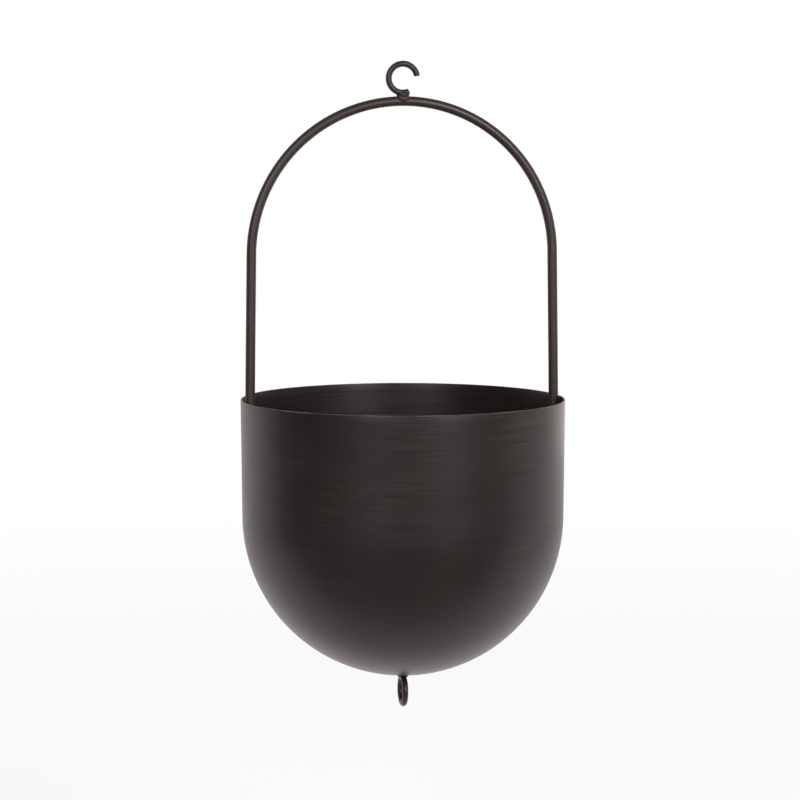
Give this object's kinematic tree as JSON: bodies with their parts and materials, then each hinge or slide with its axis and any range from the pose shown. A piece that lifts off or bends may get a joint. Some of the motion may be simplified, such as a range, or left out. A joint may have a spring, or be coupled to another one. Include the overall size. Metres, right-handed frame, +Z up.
{
  "type": "hanging plant holder",
  "caption": "Round-bottomed metal pot on a tall arched rod handle, with an open wire hook to hang it by and a wire ring below to hang another.",
  "frame": {"origin": "where the inside of the hook bears on what the holder hangs from", "axes": "+Z up along the pot's axis, the handle and the hook in the XZ plane with the hook open towards +X, the bottom ring in the YZ plane"},
  "size_m": [0.16, 0.16, 0.3197],
  "materials": {
    "pot": "satin brown-black lacquer over a spun sheet with faint level lines",
    "rod": "satin brown-black lacquer",
    "wire": "satin brown-black lacquer",
    "weld": "lumpy weld under the same satin brown-black lacquer"
  },
  "bodies": {
    "root": {"pot_shell": "pot", "arch_handle": "rod", "top_hook": "wire", "bottom_ring": "wire", "hook_weld": "weld", "ring_weld": "weld", "left_front_weld": "weld", "left_rear_weld": "weld", "right_front_weld": "weld", "right_rear_weld": "weld"}
  },
  "joints": []
}
